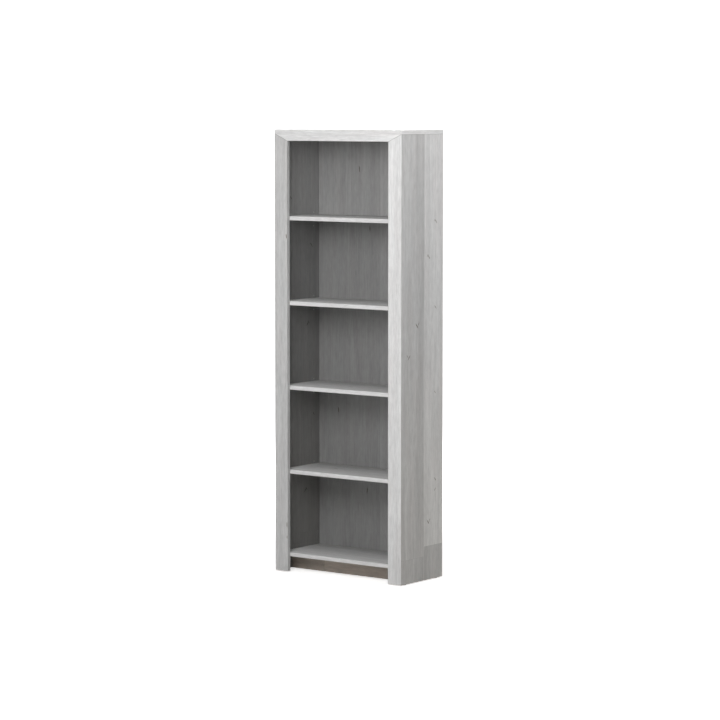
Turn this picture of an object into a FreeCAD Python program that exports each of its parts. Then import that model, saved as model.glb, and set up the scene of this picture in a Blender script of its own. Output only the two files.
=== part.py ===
import FreeCAD, Part
import math
import os

# Tall open bookcase. Each side is folded round its front corner into a wide flat stile, and the
# top is folded down into a rail, so that the case shows a heavy mitred frame from the front.
# Four shelves behind the frame rest on pins, which move up or down in rows of holes. The bottom
# panel stands on a plinth set far back, and a thin back slides in grooves in the sides and top.
#
# Millimetres, +Z up. The origin is on the floor under the middle of the case. The front faces -Y.
# Left and right are as seen from the front, so the left side is at -X.

# Overall size
overall_width = 710.0
overall_depth = 315.0
overall_height = 2010.0

# Boards
board = 18.0
back_thickness = 3.0
edge_band = 1.0
band_rounding = 0.8
fold_rounding = 1.0
shadow_line = 0.5  # depth and half width of the fine V along a visible joint

# Front frame
stile_width = 72.0
rail_height = 50.0

# Base
bottom_underside = 70.0
plinth_setback = 100.0
glide_height = 3.0
glide_margin = 1.0
glide_setback = 40.0
glide_chamfer = 0.6
glide_nail_radius = 1.0
glide_nail_reach = 14.0
glide_nail_head_radius = 2.6
glide_nail_head_height = 0.8
glide_nail_recess = 0.8

# Back
back_inset = 7.0
groove_depth = 7.0
groove_clearance = 0.3
back_nail_count = 7
back_nail_margin = 40.0
back_nail_radius = 0.8
back_nail_length = 20.0
back_nail_head_radius = 2.2
back_nail_head_height = 0.6

# Shelves
shelf_count = 4
lowest_bay = 362.0
hole_pitch = 32.0
spare_holes_each_way = 1
shelf_end_gap = 1.0
shelf_front_gap = 1.5
shelf_rear_gap = 1.5

# Shelf pins
pin_hole_radius = 2.5
pin_hole_depth = 10.0
pin_reach = 8.0
pin_setback = 40.0
pin_collar_lip = 0.7
pin_collar_drop = 0.3  # collar's top to the shelf
pin_collar_thickness = 1.5
pin_pad_length = 9.0
pin_pad_width = 8.0
pin_pad_thickness = 1.6
pin_web_thickness = 1.6

# Cam fittings, dowels and brackets
push_fit = 0.05
cam_radius = 7.5
cam_floor_gap = 0.5
cam_slack = 0.3
cam_reach = 24.0
cam_cross_length = 6.0
cam_cross_width = 1.2
cam_cross_depth = 2.5
cam_cap_lip = 1.0
cam_cap_thickness = 1.0
cam_cap_rounding = 0.4
bolt_thread_radius = 2.5
bolt_thread_length = 11.0
bolt_shank_radius = 3.5
bolt_shank_slack = 0.5
bolt_neck_radius = 1.8
bolt_head_radius = 3.2
bolt_head_length = 4.0
fitting_setback = 60.0
dowel_spacing = 32.0
dowel_radius = 4.0
dowel_half_length = 15.0
dowel_end_gap = 0.5
mitre_dowel_radius = 3.0
plinth_cam_height = 22.0
plinth_dowel_height = 50.0
bracket_thickness = 1.5
bracket_width = 30.0
bracket_leg = 26.0
bracket_screw_spacing = 16.0
screw_shank_radius = 1.75
screw_length = 13.0
screw_head_radius = 3.5
screw_head_height = 2.0
screw_cross_length = 4.0
screw_cross_width = 0.9
screw_cross_depth = 1.2
wall_hole_radius = 2.75
wall_hole_drop = 16.0

X = FreeCAD.Vector(1, 0, 0)
Y = FreeCAD.Vector(0, 1, 0)
Z = FreeCAD.Vector(0, 0, 1)

# Faces that pieces share
left_face = -overall_width / 2
front_face = -overall_depth / 2
rear_face = overall_depth / 2
left_inner = left_face + board
right_inner = -left_inner
frame_rear = front_face + board
top_underside = overall_height - board
bottom_top = bottom_underside + board
back_front = rear_face - back_inset - back_thickness
back_rear = back_front + back_thickness
opening_left = left_face + stile_width
rail_underside = overall_height - rail_height
plinth_front = front_face + plinth_setback
plinth_rear = plinth_front + board
shelf_front = frame_rear + shelf_front_gap
shelf_rear = back_front - shelf_rear_gap
shelf_left = left_inner + shelf_end_gap

# Sizes that follow from what a fitting holds
pin_collar_radius = pin_hole_radius + pin_collar_lip
pin_pad_rise = pin_collar_radius + pin_collar_drop  # pin's axis to the top of its pad
cam_depth = board / 2 + bolt_head_radius + cam_slack
cam_cap_radius = cam_radius + cam_cap_lip

# Shelf levels: whole steps of the hole rows, as near even as they go
even_pitch = (top_underside - bottom_top + board) / (shelf_count + 1)
shelf_pitch = hole_pitch * math.floor(even_pitch / hole_pitch)
shelf_undersides = [bottom_top + lowest_bay + shelf_pitch * i for i in range(shelf_count)]
pin_rows = (shelf_front + pin_setback, shelf_rear - pin_setback)
fitting_rows = (front_face + fitting_setback, back_front - fitting_setback)
dowel_rows = (fitting_rows[0] + dowel_spacing, fitting_rows[1] - dowel_spacing)

nodes = {}


def point(x, y, z):
    return FreeCAD.Vector(x, y, z)


def box(low, high):
    size = high - low
    return Part.makeBox(size.x, size.y, size.z, low)


def rod(radius, start, direction, length):
    return Part.makeCylinder(radius, length, start, direction)


def prism(corners, sweep):
    wire = Part.makePolygon(corners + [corners[0]])
    return Part.Face(wire).extrude(sweep)


def mirrored(shape):
    return shape.mirror(point(0, 0, 0), X)


def joined(shapes):
    whole = shapes[0].fuse(shapes[1:]) if len(shapes) > 1 else shapes[0]
    return whole.removeSplitter()


def without(shape, cuts):
    return shape.cut(Part.makeCompound(cuts)) if cuts else shape


def framed(shape, origin, axis, across):
    """A shape modelled along +Z, with its front at +X, turned to point along axis and face across."""
    turn = FreeCAD.Rotation(across, axis.cross(across), axis, "ZXY")
    placed = shape.copy()
    placed.Placement = FreeCAD.Placement(origin, turn)
    return placed


def folded_board(corner, along, inward, length, sweep):
    """Half of a board folded at a corner: mitred inside, rounded outside, then swept."""
    r = fold_rounding

    def at(u, v):
        return corner + along * u + inward * v

    start = r - r * math.cos(math.pi / 4)
    middle_angle = math.pi / 8
    middle = at(r - r * math.sin(middle_angle), r - r * math.cos(middle_angle))
    bend = Part.Arc(at(start, start), middle, at(r, 0)).toShape()
    run = Part.makePolygon(
        [at(r, 0), at(length, 0), at(length, board), at(board, board), at(start, start)]
    )
    return Part.Face(Part.Wire([bend] + run.Edges)).extrude(sweep)


def band_strip(corner, along, across, outward, length, width):
    """Edge band from a corner of the edge it covers, with both long outer edges rounded."""
    r = band_rounding
    flat = edge_band - r

    def at(a, o):
        return corner + across * a + outward * o

    lean = r - r * math.cos(math.pi / 4)
    near = Part.Arc(at(0, flat), at(lean, edge_band - lean), at(r, edge_band)).toShape()
    far = Part.Arc(
        at(width - r, edge_band), at(width - lean, edge_band - lean), at(width, flat)
    ).toShape()
    face = Part.makeLine(at(r, edge_band), at(width - r, edge_band))
    base = Part.makePolygon([at(width, flat), at(width, 0), at(0, 0), at(0, flat)])
    outline = Part.Wire([near, face, far] + base.Edges)
    return Part.Face(outline).extrude(along * length)


def joint_line(start, end, normal):
    """Square bar that cuts a fine V into both boards along a visible joint."""
    run = end - start
    side = run.cross(normal).normalize()
    corners = [start + normal * shadow_line, start + side * shadow_line]
    corners += [start - normal * shadow_line, start - side * shadow_line]
    return prism(corners, run)


def cross_recess(length, width, depth):
    """Driver cross, cut down from the top of a head at z = 0."""
    long_bar = box(point(-length / 2, -width / 2, -depth), point(length / 2, width / 2, 1))
    short_bar = box(point(-width / 2, -length / 2, -depth), point(width / 2, length / 2, 1))
    return long_bar.fuse(short_bar)


def cam_bolt():
    """Threaded below the joint plane at z = 0, with its head in the cam at z = cam_reach."""
    shank = cam_reach - cam_radius - cam_slack
    head_start = cam_reach - bolt_head_length / 2
    return joined(
        [
            rod(bolt_thread_radius, -Z * bolt_thread_length, Z, bolt_thread_length),
            rod(bolt_shank_radius, point(0, 0, 0), Z, shank),
            rod(bolt_neck_radius, Z * shank, Z, head_start - shank),
            rod(bolt_head_radius, Z * head_start, Z, bolt_head_length),
        ]
    )


def cam_bolt_hole():
    return rod(
        bolt_thread_radius + push_fit, -Z * (bolt_thread_length + push_fit), Z, bolt_thread_length + 1
    )


def cam_hole():
    """Shank hole up to the cam and the cam's own hole, which opens at the board's face, +X."""
    face = board / 2
    shank = rod(bolt_shank_radius + bolt_shank_slack, -Z, Z, cam_reach + 1)
    pocket = rod(cam_radius, point(face - cam_depth, 0, cam_reach), X, cam_depth + 1)
    return shank.fuse(pocket)


def cam_housing():
    """Drum with a slot that grips the bolt's head, and a driver cross in its face."""
    face = board / 2
    floor = face - cam_depth + cam_floor_gap
    drum = rod(cam_radius - push_fit, point(floor, 0, cam_reach), X, face - floor)
    slot = rod(bolt_neck_radius + cam_slack, point(0, 0, 0), Z, cam_reach)
    head_start = cam_reach - bolt_head_length / 2 - cam_slack
    grip = rod(bolt_head_radius + cam_slack, Z * head_start, Z, bolt_head_length + 2 * cam_slack)
    cross = framed(
        cross_recess(cam_cross_length, cam_cross_width, cam_cross_depth),
        point(face, 0, cam_reach),
        X,
        Y,
    )
    return without(drum, [slot.fuse(grip), cross])


def screw():
    """Pan head above z = 0 and its shank below, with a cross in the head."""
    shank = rod(screw_shank_radius, -Z * screw_length, Z, screw_length)
    head = rod(screw_head_radius, point(0, 0, 0), Z, screw_head_height)
    head = head.makeChamfer(screw_head_height / 3, [head.Edges[0]])
    cross = cross_recess(screw_cross_length, screw_cross_width, screw_cross_depth)
    cross.translate(Z * screw_head_height)
    return without(shank.fuse(head), [cross])


def screw_hole():
    return rod(screw_shank_radius + push_fit, -Z * (screw_length + push_fit), Z, screw_length + 1)


def bracket():
    """Angle with one leg on the plane z = 0, seen from below, and one on the plane y = 0."""
    half = bracket_width / 2
    flat_leg = box(point(-half, -bracket_leg, -bracket_thickness), point(half, 0, 0))
    upright_leg = box(point(-half, -bracket_thickness, -bracket_leg), point(half, 0, 0))
    return joined([flat_leg, upright_leg])


# Joints between boards. Each entry is the point where the bolt crosses the joint plane on the
# left, the way the bolt points, and the way the cam's face looks.
side_middle = left_face + board / 2
bottom_middle = bottom_underside + board / 2
plinth_middle = plinth_front + board / 2
top_joints = [(point(side_middle, y, top_underside), -Z, X) for y in fitting_rows]
bottom_joints = [(point(left_inner, y, bottom_middle), X, -Z) for y in fitting_rows]
plinth_joints = [(point(left_inner, plinth_middle, glide_height + plinth_cam_height), X, Y)]
top_dowels = [(point(side_middle, y, top_underside), Z) for y in dowel_rows]
bottom_dowels = [(point(left_inner, y, bottom_middle), X) for y in dowel_rows]
plinth_dowels = [(point(left_inner, plinth_middle, glide_height + plinth_dowel_height), X)]
all_joints = top_joints + bottom_joints + plinth_joints
all_dowels = top_dowels + bottom_dowels + plinth_dowels


def both_sides(shapes):
    return shapes + [mirrored(shape) for shape in shapes]


def bolt_holes(joints):
    return [framed(cam_bolt_hole(), *joint) for joint in joints]


def cam_holes(joints):
    return [framed(cam_hole(), *joint) for joint in joints]


def dowel_holes(dowels):
    reach = dowel_half_length + dowel_end_gap
    return [rod(dowel_radius + push_fit, p - axis * reach, axis, 2 * reach) for p, axis in dowels]


def mitre_dowel():
    """Upright dowel across the middle of the shallow mitre between stile and rail."""
    middle_z = (top_underside + rail_underside) / 2
    x = left_face + stile_width / 2
    half = (rail_height - board) / 2
    start = point(x, front_face + board / 2, middle_z - half)
    return start, 2 * half


def mitre_dowel_hole():
    start, length = mitre_dowel()
    low = start - Z * dowel_end_gap
    return rod(mitre_dowel_radius + push_fit, low, Z, length + 2 * dowel_end_gap)


def rail_outline():
    """The rail's shape from the front, right through the frame, with its slanting ends."""
    y = front_face - 1
    left = [point(left_face, y, overall_height), point(left_face, y, top_underside)]
    left.append(point(opening_left, y, rail_underside))
    right = [point(-p.x, p.y, p.z) for p in reversed(left)]
    return prism(left + right, Y * (board + 2))


def visible_joint_lines():
    """Along the mitre on the front and along the top panel's joint on the side, at the left."""
    mitre = joint_line(
        point(left_face, front_face, top_underside), point(opening_left, front_face, rail_underside), Y
    )
    side = joint_line(
        point(left_face, front_face, top_underside), point(left_face, rear_face, top_underside), X
    )
    return [mitre, side]


def back_groove(low_z, high_z):
    """Groove for the back in the left side's inner face."""
    low = point(left_inner - groove_depth, back_front, low_z)
    return box(low, point(left_inner + 1, back_rear + groove_clearance, high_z))


def pin_levels():
    """Height of every pin hole's axis, lowest first."""
    steps = range(-spare_holes_each_way, spare_holes_each_way + 1)
    rests = [underside - pin_pad_rise for underside in shelf_undersides]
    return [rest + step * hole_pitch for rest in rests for step in steps]


def pin_holes():
    places = [point(left_inner, y, z) for y in pin_rows for z in pin_levels()]
    return [rod(pin_hole_radius, p + X, -X, pin_hole_depth + 1) for p in places]


def glide_places():
    rows = (front_face + glide_setback, rear_face - glide_setback)
    return [point(side_middle, y, 0) for y in rows]


def glide_nail_holes(reach):
    return [rod(glide_nail_radius + push_fit, p, Z, reach) for p in glide_places()]


def side_panel():
    height = top_underside - glide_height
    corner = point(left_face, front_face, glide_height)
    stock = folded_board(corner, Y, X, overall_depth, Z * height)
    cuts = [back_groove(glide_height - 1, top_underside + 1)]
    cuts += pin_holes() + cam_holes(top_joints)
    cuts += bolt_holes(bottom_joints + plinth_joints) + dowel_holes(all_dowels)
    cuts += glide_nail_holes(glide_height + glide_nail_reach + push_fit)
    return without(stock, cuts + visible_joint_lines())


def stile():
    height = top_underside - glide_height
    corner = point(left_face, front_face, glide_height)
    stock = folded_board(corner, X, Y, stile_width - edge_band, Z * height)
    return without(stock, [rail_outline(), mitre_dowel_hole()] + visible_joint_lines())


def stile_band():
    corner = point(opening_left - edge_band, front_face, glide_height)
    strip = band_strip(corner, Z, Y, X, top_underside - glide_height, board)
    return without(strip, [rail_outline()])


def top_end_band():
    strip = box(
        point(left_face, front_face, top_underside), point(left_face + edge_band, rear_face, overall_height)
    )
    front_edges = [e for e in strip.Edges if abs(e.BoundBox.YMax - front_face) < 1e-6]
    outer_edges = [e for e in front_edges if e.BoundBox.XMax - left_face < 1e-6]
    rounded = strip.makeFillet(edge_band / 2, outer_edges)
    return without(rounded, visible_joint_lines())


def top_panel():
    corner = point(left_face + edge_band, front_face, overall_height)
    stock = folded_board(corner, Y, -Z, overall_depth, X * (overall_width - 2 * edge_band))
    ends = left_inner - groove_depth
    groove = box(
        point(ends, back_front, top_underside - 1),
        point(-ends, back_rear + groove_clearance, top_underside + groove_depth),
    )
    cuts = [groove] + both_sides(bolt_holes(top_joints) + dowel_holes(top_dowels))
    return without(stock, cuts + bracket_screw_holes(wall_bracket_at()))


def rail_stock(start_x):
    corner = point(start_x, front_face, overall_height)
    return folded_board(corner, -Z, Y, rail_height - edge_band, X * -2 * start_x)


def top_rail():
    below_top = box(
        point(left_face, front_face - 1, rail_underside), point(-left_face, frame_rear + 1, top_underside)
    )
    lower = rail_stock(left_face).common(below_top)
    upper = rail_stock(left_face + edge_band).cut(below_top)
    corner = point(left_face, front_face, glide_height)
    side = folded_board(corner, Y, X, overall_depth, Z * (top_underside - glide_height))
    whole = joined([lower.common(rail_outline()), upper])
    return without(whole, both_sides([side, mitre_dowel_hole()] + visible_joint_lines()))


def rail_band():
    corner = point(left_face, front_face, rail_underside + edge_band)
    strip = band_strip(corner, X, Y, -Z, overall_width, board)
    return strip.common(rail_outline())


def bottom_panel():
    low = point(left_inner, frame_rear + edge_band, bottom_underside)
    stock = box(low, point(right_inner, back_front, bottom_top))
    cuts = both_sides(cam_holes(bottom_joints) + dowel_holes(bottom_dowels))
    cuts += back_nail_holes() + plinth_bracket_bottom_holes()
    return without(stock, cuts)


def bottom_band():
    corner = point(left_inner, frame_rear + edge_band, bottom_underside)
    return band_strip(corner, X, Z, -Y, right_inner - left_inner, board)


def plinth():
    low = point(left_inner, plinth_front, glide_height)
    stock = box(low, point(right_inner, plinth_rear, bottom_underside))
    cuts = both_sides(cam_holes(plinth_joints) + dowel_holes(plinth_dowels))
    return without(stock, cuts + plinth_bracket_plinth_holes())


def back_panel():
    reach = groove_depth - groove_clearance
    low = point(left_inner - reach, back_front, bottom_underside)
    stock = box(low, point(right_inner + reach, back_rear, top_underside + reach))
    return without(stock, back_nail_holes() + [wall_hole()])


def back_nail_places():
    first = left_inner + back_nail_margin
    step = (right_inner - back_nail_margin - first) / (back_nail_count - 1)
    return [point(first + step * i, back_rear, bottom_middle) for i in range(back_nail_count)]


def back_nail_holes():
    radius = back_nail_radius + push_fit
    return [rod(radius, p + Y, -Y, back_nail_length + 1 + push_fit) for p in back_nail_places()]


def back_nails():
    shanks = [rod(back_nail_radius, p, -Y, back_nail_length) for p in back_nail_places()]
    heads = [rod(back_nail_head_radius, p, Y, back_nail_head_height) for p in back_nail_places()]
    return [shank.fuse(head) for shank, head in zip(shanks, heads)]


def wall_bracket_at():
    return point(0, back_front, top_underside)


def bracket_screw_places(corner):
    """Two screws side by side in the bracket's flat leg."""
    y = corner.y - bracket_leg + screw_head_radius * 2
    return [point(corner.x + s * bracket_screw_spacing / 2, y, corner.z) for s in (-1, 1)]


def bracket_screw_holes(corner):
    """Holes through the flat leg and up into the board over it."""
    below = Z * bracket_thickness
    return [framed(screw_hole(), p - below, -Z, X) for p in bracket_screw_places(corner)]


def bracket_screws(corner):
    below = Z * bracket_thickness
    return [framed(screw(), p - below, -Z, X) for p in bracket_screw_places(corner)]


def wall_hole():
    start = wall_bracket_at() - Z * wall_hole_drop - Y * (bracket_thickness + 1)
    return rod(wall_hole_radius, start, Y, bracket_thickness + back_thickness + 2)


def wall_bracket():
    angle = bracket().translate(wall_bracket_at())
    return without(angle, [wall_hole()] + bracket_screw_holes(wall_bracket_at()))


def plinth_bracket_places():
    """Corners where the plinth's rear meets the bottom panel's underside, a third in from each end."""
    third = (right_inner - left_inner) / 6
    return [point(side * third, plinth_rear, bottom_underside) for side in (-1, 1)]


def plinth_bracket_frame(shape, corner):
    """The wall bracket's layout turned half round, so that its upright leg looks back."""
    turned = shape.copy()
    turned.rotate(point(0, 0, 0), Z, 180)
    return turned.translate(corner)


def plinth_bracket_up_screws(maker):
    """Screws up into the bottom panel, at the origin and before the bracket is turned."""
    below = Z * bracket_thickness
    return [framed(maker(), p - below, -Z, X) for p in bracket_screw_places(point(0, 0, 0))]


def plinth_bracket_level_screw(maker):
    """The one screw through the upright leg into the plinth."""
    place = point(0, -bracket_thickness, -bracket_leg + screw_head_radius * 2)
    return framed(maker(), place, -Y, X)


def plinth_bracket_bottom_holes():
    holes = plinth_bracket_up_screws(screw_hole)
    return [plinth_bracket_frame(hole, p) for p in plinth_bracket_places() for hole in holes]


def plinth_bracket_plinth_holes():
    hole = plinth_bracket_level_screw(screw_hole)
    return [plinth_bracket_frame(hole, p) for p in plinth_bracket_places()]


def plinth_brackets():
    holes = plinth_bracket_up_screws(screw_hole) + [plinth_bracket_level_screw(screw_hole)]
    angle = without(bracket(), holes)
    return [plinth_bracket_frame(angle, p) for p in plinth_bracket_places()]


def plinth_bracket_screws():
    screws = plinth_bracket_up_screws(screw) + [plinth_bracket_level_screw(screw)]
    return [plinth_bracket_frame(one, p) for p in plinth_bracket_places() for one in screws]


def shelf(underside):
    low = point(shelf_left, shelf_front + edge_band, underside)
    return box(low, point(-shelf_left, shelf_rear, underside + board))


def shelf_band(underside):
    corner = point(shelf_left, shelf_front + edge_band, underside)
    return band_strip(corner, X, Z, -Y, -2 * shelf_left, board)


def shelf_pin(y, underside):
    """Support at the left: a pin in the side, a collar on its face and a flat pad under the shelf."""
    axis = point(left_inner, y, underside - pin_pad_rise)
    shaft = rod(pin_hole_radius - push_fit, axis - X * pin_reach, X, pin_reach)
    collar = rod(pin_collar_radius, axis, X, pin_collar_thickness)
    half = pin_pad_width / 2
    inner_end = left_inner + pin_collar_thickness + pin_pad_length
    pad_low = point(left_inner + shelf_end_gap / 2, y - half, underside - pin_pad_thickness)
    pad = box(pad_low, point(inner_end, y + half, underside))
    corners = [e for e in pad.Edges if e.BoundBox.XMin > inner_end - 1e-6 and e.Length < board / 2]
    uprights = [e for e in corners if abs(e.tangentAt(e.FirstParameter).z) > 0.5]
    pad = pad.makeFillet(half - push_fit, uprights)
    web_y = y - pin_web_thickness / 2
    web_top = underside - pin_pad_thickness
    web_start = left_inner + pin_collar_thickness / 2
    web_low = axis.z - pin_collar_radius * 0.8
    web = prism(
        [
            point(web_start, web_y, web_top),
            point(web_start, web_y, web_low),
            point(left_inner + pin_collar_thickness, web_y, web_low),
            point(inner_end - half, web_y, web_top),
        ],
        Y * pin_web_thickness,
    )
    return joined([shaft, collar, pad, web])


def glide(place):
    radius = board / 2 - glide_margin
    disc = rod(radius, place, Z, glide_height)
    low_rim = [e for e in disc.Edges if e.BoundBox.ZMax < 1e-6]
    disc = disc.makeChamfer(glide_chamfer, low_rim)
    recess = rod(glide_nail_head_radius + push_fit, place, Z, glide_nail_recess + glide_nail_head_height)
    return without(disc, [recess, rod(glide_nail_radius + push_fit, place, Z, glide_height + 1)])


def glide_nail(place):
    start = place + Z * glide_nail_recess
    head = rod(glide_nail_head_radius, start, Z, glide_nail_head_height)
    shank = rod(glide_nail_radius, start, Z, glide_height + glide_nail_reach - glide_nail_recess)
    return joined([head, shank])


def cam_cap(joint):
    """Cap on a cam that shows inside the top bay."""
    cap = rod(cam_cap_radius, point(board / 2, 0, cam_reach), X, cam_cap_thickness)
    outer_rim = [e for e in cap.Edges if e.BoundBox.XMin > board / 2 + cam_cap_thickness / 2]
    return framed(cap.makeFillet(cam_cap_rounding, outer_rim), *joint)


def dowel(place, axis, radius, half_length):
    return rod(radius, place - axis * half_length, axis, 2 * half_length)


def add(name, shapes):
    """Keep a node's solids, after checking that each is one closed valid solid."""
    solids = [solid for shape in shapes for solid in shape.Solids]
    for solid in solids:
        if not solid.isValid() or not solid.isClosed() or solid.Volume <= 0:
            raise ValueError(f"{name} has a solid that is not closed and valid")
    nodes[name] = Part.makeCompound(solids) if len(solids) > 1 else solids[0]


def add_pair(name, shape):
    """A piece at the left and its mirror image at the right."""
    add(f"{name}_left", [shape])
    add(f"{name}_right", [mirrored(shape)])


def add_case():
    add_pair("side_panel", side_panel())
    add_pair("stile", stile())
    add_pair("stile_edge_band", stile_band())
    add("top_panel", [top_panel()])
    add("top_rail", [top_rail()])
    add("rail_edge_band", [rail_band()])
    add_pair("top_end_band", top_end_band())
    add("bottom_panel", [bottom_panel()])
    add("bottom_edge_band", [bottom_band()])
    add("plinth", [plinth()])
    add("back_panel", [back_panel()])


def add_shelves():
    for number, underside in enumerate(shelf_undersides, start=1):
        add(f"shelf_{number}", [shelf(underside)])
        add(f"shelf_{number}_edge_band", [shelf_band(underside)])
        for row, y in zip(("front", "rear"), pin_rows):
            support = shelf_pin(y, underside)
            add(f"shelf_{number}_pin_left_{row}", [support])
            add(f"shelf_{number}_pin_right_{row}", [mirrored(support)])


def add_hardware():
    add("cam_bolts", both_sides([framed(cam_bolt(), *joint) for joint in all_joints]))
    add("cam_housings", both_sides([framed(cam_housing(), *joint) for joint in all_joints]))
    add("cam_caps", both_sides([cam_cap(joint) for joint in top_joints]))
    dowels = [dowel(p, axis, dowel_radius, dowel_half_length) for p, axis in all_dowels]
    add("dowels", both_sides(dowels))
    start, length = mitre_dowel()
    add("mitre_dowels", both_sides([rod(mitre_dowel_radius, start, Z, length)]))
    add("back_nails", back_nails())
    add("glides", both_sides([glide(p) for p in glide_places()]))
    add("glide_nails", both_sides([glide_nail(p) for p in glide_places()]))
    add("wall_bracket", [wall_bracket()])
    add("wall_bracket_screws", bracket_screws(wall_bracket_at()))
    add("plinth_brackets", plinth_brackets())
    add("plinth_bracket_screws", plinth_bracket_screws())


def main():
    add_case()
    add_shelves()
    add_hardware()
    os.makedirs("parts", exist_ok=True)
    for name, shape in nodes.items():
        shape.exportStep(f"parts/{name}.step")
    whole = Part.makeCompound(list(nodes.values())).BoundBox
    print(f"{len(nodes)} nodes, {whole.XLength:.2f} x {whole.YLength:.2f} x {whole.ZLength:.2f} mm")


main()
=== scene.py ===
"""Looks of the tall open bookcase: oak decor on its boards, its fittings, and a plain studio."""

import math

import bpy
import numpy as np
from bpy.props import FloatProperty, FloatVectorProperty, IntProperty, PointerProperty
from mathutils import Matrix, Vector


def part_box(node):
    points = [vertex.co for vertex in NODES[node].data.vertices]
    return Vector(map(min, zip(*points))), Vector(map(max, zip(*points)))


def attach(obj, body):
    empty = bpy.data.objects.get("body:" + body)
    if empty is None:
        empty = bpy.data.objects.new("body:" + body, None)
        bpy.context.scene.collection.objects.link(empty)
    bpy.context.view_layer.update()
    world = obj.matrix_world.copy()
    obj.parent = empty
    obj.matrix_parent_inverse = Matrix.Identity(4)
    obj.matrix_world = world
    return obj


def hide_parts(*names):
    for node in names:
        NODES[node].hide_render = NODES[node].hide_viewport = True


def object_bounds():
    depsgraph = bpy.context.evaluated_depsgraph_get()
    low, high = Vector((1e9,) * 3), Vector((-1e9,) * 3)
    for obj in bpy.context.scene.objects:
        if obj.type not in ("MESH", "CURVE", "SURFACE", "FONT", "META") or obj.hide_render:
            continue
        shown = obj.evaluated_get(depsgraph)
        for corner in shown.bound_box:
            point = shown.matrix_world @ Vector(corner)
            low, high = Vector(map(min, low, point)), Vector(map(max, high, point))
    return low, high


bl_info = {
    "name": "Bookcase Looks",
    "version": (1, 0, 0),
    "blender": (4, 5, 0),
    "location": "3D View > Sidebar > Bookcase",
    "description": "Oak decor, fittings and studio for a tall bookcase with adjustable shelves",
    "category": "Object",
}

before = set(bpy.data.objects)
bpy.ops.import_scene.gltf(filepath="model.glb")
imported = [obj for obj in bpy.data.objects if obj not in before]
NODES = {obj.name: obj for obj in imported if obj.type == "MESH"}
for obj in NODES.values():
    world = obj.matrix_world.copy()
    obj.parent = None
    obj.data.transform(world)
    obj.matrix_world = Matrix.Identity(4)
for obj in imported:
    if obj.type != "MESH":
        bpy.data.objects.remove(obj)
CAD_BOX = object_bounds()

X, Y, Z = 0, 1, 2
HAIR = 0.0004  # a coordinate this near a face counts as on it

# Faces of the case that the looks follow, from the frame
CASE_LOW, CASE_HIGH = CAD_BOX
OPENING_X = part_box("stile_edge_band_right")[0].x
RAIL_UNDER_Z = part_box("rail_edge_band")[0].z
TOP_SHELF_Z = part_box("shelf_4")[0].z
INNER_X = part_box("side_panel_right")[0].x
REAR_Y = CASE_HIGH.y
BACK_REAR_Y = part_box("back_panel")[1].y
TOP_UNDER_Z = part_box("top_end_band_left")[0].z
FOOT_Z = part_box("side_panel_right")[0].z
SHELF_REAR_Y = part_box("shelf_1")[1].y
SHELF_END_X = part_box("shelf_1")[1].x
BOTTOM_REAR_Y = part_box("bottom_panel")[1].y
RAW_REAR = (Y, 1, REAR_Y - HAIR)  # faces of bare chipboard: axis, sign and limit
RAW_FOOT = (Z, -1, -FOOT_Z - HAIR)
SHELVES = (1, 2, 3, 4)
SIDES = (("left", -1), ("right", 1))
ROWS = ("front", "rear")
SHADE_FRONT_TO_REAR = (1.15, 0.52)  # painted shade: tone of a shelf, paler at the case's front and darker at its rear
NO_BUTT = -1.0  # height of a butt joint that no plank reaches
SEAM_DARK = -0.22  # change of tone on the lines where planks meet
JOINT_DARK = -0.42  # change of tone on the joints between boards
HALO_SHARE, CORE_COVER = 0.42, 0.92  # how strongly a knot's halo and core cover the grain
CORE_SHARE = 0.42  # width of a knot's core as a share of the knot's
ROUGH_SPREAD = 0.15  # how much the roughness of metal and plastic varies
COLLAR = 0.0015  # thickness of a shelf pin's collar
SCREW_HEAD = 0.002  # height of a bracket screw's head
SCREW_TIP = 0.0004  # length of its blunt tip
DRIVER_DEPTH = 0.0012  # depth of its cross
NAIL_DOME = 0.0006  # height of a nail's head


def colour_prop(name, description, default):
    return FloatVectorProperty(
        name=name, description=description, default=default, subtype="COLOR", size=3, min=0, max=1
    )


def length_prop(name, description, default):
    return FloatProperty(
        name=name, description=description, default=default, unit="LENGTH", subtype="DISTANCE", precision=4
    )


def share_prop(name, description, default, high=2.0):
    return FloatProperty(name=name, description=description, default=default, min=0, max=high)


def watts_prop(name, description, default):
    return FloatProperty(name=name, description=description, default=default, unit="POWER", min=0)


def angle_prop(name, description, degrees):
    return FloatProperty(name=name, description=description, default=math.radians(degrees), unit="ROTATION")


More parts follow.
